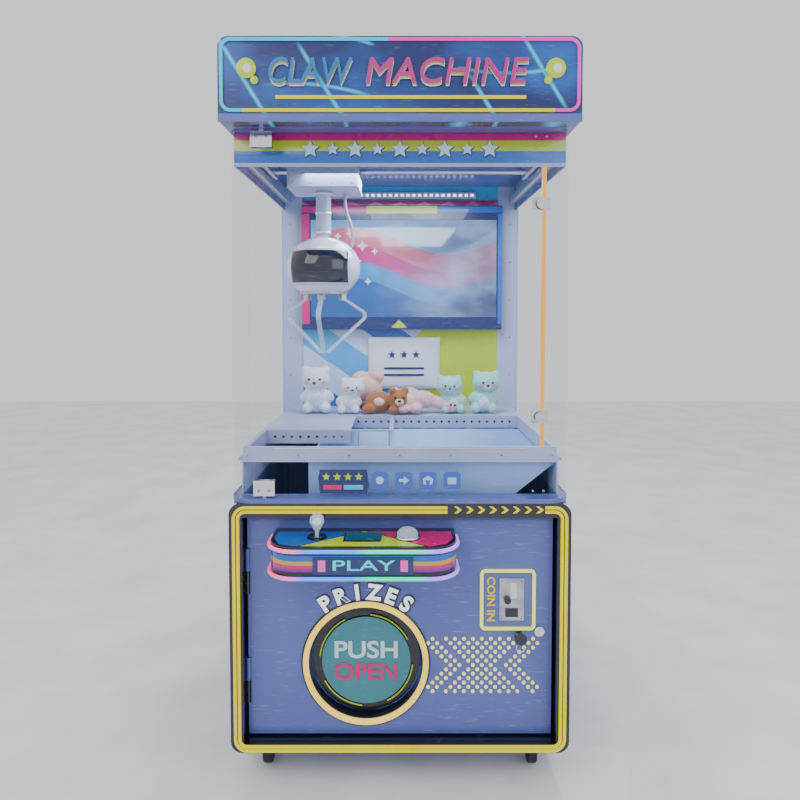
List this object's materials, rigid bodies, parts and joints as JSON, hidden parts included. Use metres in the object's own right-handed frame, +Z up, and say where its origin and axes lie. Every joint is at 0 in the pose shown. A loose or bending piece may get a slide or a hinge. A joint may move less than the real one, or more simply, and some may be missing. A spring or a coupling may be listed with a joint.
{
  "type": "claw crane machine",
  "caption": "Upright claw crane cabinet with a glazed play space, bridge gantry and claw, display, control console and a round prize flap.",
  "frame": {"origin": "centre of the footprint on the floor", "axes": "+Z up, the player stands on the -Y side, +X to the player's right"},
  "size_m": [0.88, 0.946, 1.898],
  "materials": {
    "lavender_board": "satin painted board",
    "white_steel": "satin powder coat",
    "black_moulding": "gloss black moulding",
    "marquee_print": "backlit printed panel",
    "clear_acrylic": "clear",
    "tempered_glass": "clear",
    "neon_tube": "diffusing silicone light tube",
    "blue_panel": "satin powder coat",
    "graphic_print": "laminated print",
    "display_black": "black display case",
    "circuit_green": "solder mask",
    "galvanised_steel": "zinc plated",
    "chrome_metal": "polished",
    "aluminium_bar": "anodised",
    "white_plastic": "gloss white moulding",
    "clear_plastic": "clear moulded plastic",
    "crystal_knob": "clear moulded plastic",
    "plush_fabric": "short pile plush",
    "flap_teal": "printed disc",
    "caster_rubber": "moulded tread",
    "conduit_grey": "corrugated conduit",
    "key_black": "moulded bow"
  },
  "bodies": {
    "cabinet": {"base_floor": "galvanised_steel", "base_side_left": "lavender_board", "base_side_right": "lavender_board", "base_back_panel": "lavender_board", "base_sill": "lavender_board", "front_surround": "black_moulding", "cabinet_light_tubes": "neon_tube", "deck_rails": "white_steel", "rear_deck": "white_steel", "side_shelf": "white_steel", "prize_hopper": "blue_panel", "prize_chute": "blue_panel", "rear_columns": "white_steel", "back_wall": "graphic_print", "display_panel": "display_black", "side_glass_left": "clear_acrylic", "side_glass_right": "clear_acrylic", "header_boards": "graphic_print", "roof_panel": "lavender_board", "marquee_box": "marquee_print", "gantry_rails": "aluminium_bar", "control_electronics": "circuit_green", "cash_box": "galvanised_steel", "plush_prizes": "plush_fabric", "caster_mounts": "galvanised_steel"},
    "base_door": {"base_door_panel": "lavender_board", "prize_sleeve": "black_moulding", "console_shell": "graphic_print", "console_top": "graphic_print", "door_light_tubes": "neon_tube", "joystick_bracket": "black_moulding", "coin_acceptor": "galvanised_steel"},
    "prize_flap": {"prize_flap": "flap_teal"},
    "door_lock": {"door_lock": "chrome_metal"},
    "coin_key": {"coin_key": "key_black"},
    "coin_return_button": {"coin_return_button": "key_black"},
    "joystick_gimbal": {"joystick_gimbal": "black_moulding"},
    "joystick": {"joystick": "crystal_knob"},
    "dome_button": {"dome_button": "white_plastic"},
    "glass_door": {"glass_door_pane": "tempered_glass", "glass_door_fittings": "chrome_metal"},
    "bridge": {"bridge_frame": "aluminium_bar"},
    "bridge_axle_front": {"bridge_axle_front": "galvanised_steel"},
    "bridge_axle_rear": {"bridge_axle_rear": "galvanised_steel"},
    "carriage": {"carriage_housing": "white_steel", "hoist_motor": "galvanised_steel", "mast_outer": "white_steel"},
    "mast_middle": {"mast_middle": "aluminium_bar"},
    "claw_head": {"claw_head_shell": "white_plastic", "claw_hub": "galvanised_steel", "claw_conduit": "conduit_grey"},
    "claw_finger_1": {"claw_finger_1": "clear_plastic"},
    "claw_finger_2": {"claw_finger_2": "clear_plastic"},
    "claw_finger_3": {"claw_finger_3": "clear_plastic"},
    "caster_fork_left": {"caster_fork_left": "galvanised_steel"},
    "caster_fork_right": {"caster_fork_right": "galvanised_steel"},
    "caster_wheel_front_left": {"caster_wheel_front_left": "caster_rubber"},
    "caster_wheel_front_right": {"caster_wheel_front_right": "caster_rubber"},
    "caster_wheel_rear_left": {"caster_wheel_rear_left": "caster_rubber"},
    "caster_wheel_rear_right": {"caster_wheel_rear_right": "caster_rubber"}
  },
  "joints": [
    {"name": "base_door_hinge", "type": "hinge", "parent": "cabinet", "child": "base_door", "pos_m": [-0.4, -0.322, 0.4], "axis": [0, 0, -1], "range_deg": [0, 95]},
    {"name": "prize_flap_hinge", "type": "hinge", "parent": "base_door", "child": "prize_flap", "pos_m": [-0.09, -0.297, 0.445], "axis": [1, 0, 0], "range_deg": [0, 45]},
    {"name": "door_lock_turn", "type": "hinge", "parent": "base_door", "child": "door_lock", "pos_m": [0.366, -0.322, 0.397], "axis": [0, -1, 0], "range_deg": [0, 90]},
    {"name": "coin_key_turn", "type": "hinge", "parent": "base_door", "child": "coin_key", "pos_m": [0.313, -0.322, 0.388], "axis": [0, -1, 0], "range_deg": [0, 90]},
    {"name": "coin_return_press", "type": "slide", "parent": "base_door", "child": "coin_return_button", "axis": [0, 1, 0], "range_m": [0, 0.004], "stiffness_N_per_m": 300, "springref_m": -0.004},
    {"name": "joystick_tilt_x", "type": "hinge", "parent": "base_door", "child": "joystick_gimbal", "pos_m": [-0.208, -0.397, 0.65], "axis": [1, 0, 0], "range_deg": [-10, 10], "stiffness_Nm_per_rad": 2},
    {"name": "joystick_tilt_y", "type": "hinge", "parent": "joystick_gimbal", "child": "joystick", "pos_m": [-0.208, -0.397, 0.65], "axis": [0, 1, 0], "range_deg": [-10, 10], "stiffness_Nm_per_rad": 2},
    {"name": "dome_button_press", "type": "slide", "parent": "base_door", "child": "dome_button", "axis": [0, 0, -1], "range_m": [0, 0.004], "stiffness_N_per_m": 600, "springref_m": -0.006},
    {"name": "glass_door_pivot", "type": "hinge", "parent": "cabinet", "child": "glass_door", "pos_m": [-0.35, -0.34, 1.2], "axis": [0, 0, -1], "range_deg": [0, 95]},
    {"name": "bridge_slide", "type": "slide", "parent": "cabinet", "child": "bridge", "axis": [0, -1, 0], "range_m": [-0.24, 0.12]},
    {"name": "bridge_axle_front_spin", "type": "hinge", "parent": "bridge", "child": "bridge_axle_front", "pos_m": [0, -0.125, 1.6723], "axis": [1, 0, 0], "continuous": true},
    {"name": "bridge_axle_rear_spin", "type": "hinge", "parent": "bridge", "child": "bridge_axle_rear", "pos_m": [0, 0.071, 1.6723], "axis": [1, 0, 0], "continuous": true},
    {"name": "carriage_slide", "type": "slide", "parent": "bridge", "child": "carriage", "axis": [1, 0, 0], "range_m": [-0.02, 0.45]},
    {"name": "hoist_slide", "type": "slide", "parent": "carriage", "child": "claw_head", "axis": [0, 0, -1], "range_m": [0, 0.2], "deforming": ["claw_conduit"]},
    {"name": "mast_middle_slide", "type": "slide", "parent": "carriage", "child": "mast_middle", "axis": [0, 0, -1], "range_m": [0, 0.1]},
    {"name": "claw_finger_1_hinge", "type": "hinge", "parent": "claw_head", "child": "claw_finger_1", "pos_m": [-0.23, -0.089, 1.278], "axis": [-1, 0, 0], "range_deg": [0, 25]},
    {"name": "claw_finger_2_hinge", "type": "hinge", "parent": "claw_head", "child": "claw_finger_2", "pos_m": [-0.17631, 0.004, 1.278], "axis": [0.5, -0.866, 0], "range_deg": [0, 25]},
    {"name": "claw_finger_3_hinge", "type": "hinge", "parent": "claw_head", "child": "claw_finger_3", "pos_m": [-0.28369, 0.004, 1.278], "axis": [0.5, 0.866, 0], "range_deg": [0, 25]},
    {"name": "caster_swivel_left", "type": "hinge", "parent": "cabinet", "child": "caster_fork_left", "pos_m": [-0.36, -0.277, 0.08], "axis": [0, 0, 1], "continuous": true},
    {"name": "caster_roll_front_left", "type": "hinge", "parent": "caster_fork_left", "child": "caster_wheel_front_left", "pos_m": [-0.36, -0.257, 0.037], "axis": [1, 0, 0], "continuous": true},
    {"name": "caster_roll_rear_left", "type": "hinge", "parent": "cabinet", "child": "caster_wheel_rear_left", "pos_m": [-0.36, 0.383, 0.037], "axis": [1, 0, 0], "continuous": true},
    {"name": "caster_swivel_right", "type": "hinge", "parent": "cabinet", "child": "caster_fork_right", "pos_m": [0.36, -0.277, 0.08], "axis": [0, 0, 1], "continuous": true},
    {"name": "caster_roll_front_right", "type": "hinge", "parent": "caster_fork_right", "child": "caster_wheel_front_right", "pos_m": [0.36, -0.257, 0.037], "axis": [1, 0, 0], "continuous": true},
    {"name": "caster_roll_rear_right", "type": "hinge", "parent": "cabinet", "child": "caster_wheel_rear_right", "pos_m": [0.36, 0.383, 0.037], "axis": [1, 0, 0], "continuous": true}
  ],
  "couplings": [
    {"joint": "bridge_axle_front_spin", "follows": "bridge_slide", "rad_per_m": 71.429},
    {"joint": "bridge_axle_rear_spin", "follows": "bridge_slide", "rad_per_m": 71.429},
    {"joint": "mast_middle_slide", "follows": "hoist_slide", "ratio": 0.5},
    {"joint": "claw_finger_2_hinge", "follows": "claw_finger_1_hinge", "ratio": 1},
    {"joint": "claw_finger_3_hinge", "follows": "claw_finger_1_hinge", "ratio": 1}
  ]
}
